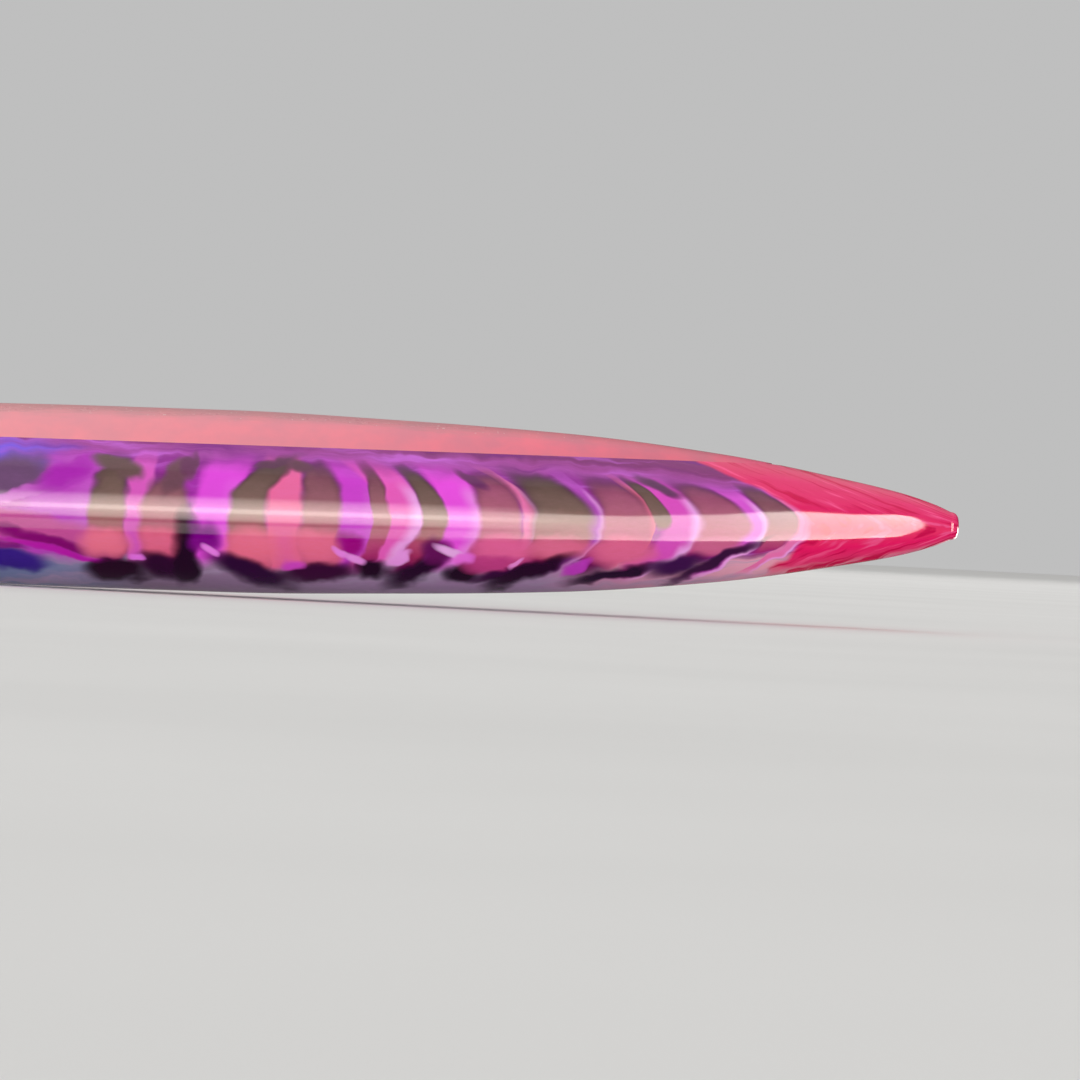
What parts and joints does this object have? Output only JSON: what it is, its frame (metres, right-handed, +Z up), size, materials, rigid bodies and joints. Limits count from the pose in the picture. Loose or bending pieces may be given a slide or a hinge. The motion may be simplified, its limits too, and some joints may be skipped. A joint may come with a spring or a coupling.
{
  "type": "dip pen",
  "caption": "Straight dip pen: turned ribbon-resin holder with a pointed tail and a coral top layer, a steel ferrule with a petal spring, and a pointed steel nib that pulls out.",
  "frame": {"origin": "on the pen's axis, in the plane of the holder's front face, where the ferrule opens", "axes": "+X along the axis to the tail tip, so the nib points to -X; +Z up through the middle of the coral layer; +Y across, to the right-handed side"},
  "size_m": [0.1735, 0.013, 0.013],
  "materials": {
    "ribbon_resin": "polished cast resin with magenta, violet and smoky ribbons",
    "coral_resin": "polished opaque coral resin",
    "ferrule_steel": "bright nickel-plated drawn steel",
    "spring_steel": "plain spring steel strip",
    "rivet_brass": "plain brass",
    "nib_steel": "polished carbon steel with ground tines"
  },
  "bodies": {
    "holder": {"holder_core": "ribbon_resin", "coral_layer": "coral_resin", "ferrule_sleeve": "ferrule_steel", "petal_spring": "spring_steel", "spring_rivet": "rivet_brass"},
    "nib": {"nib": "nib_steel"}
  },
  "joints": [
    {"name": "nib_pull", "type": "slide", "parent": "holder", "child": "nib", "axis": [-1, 0, 0], "range_m": [0, 0.016]}
  ]
}
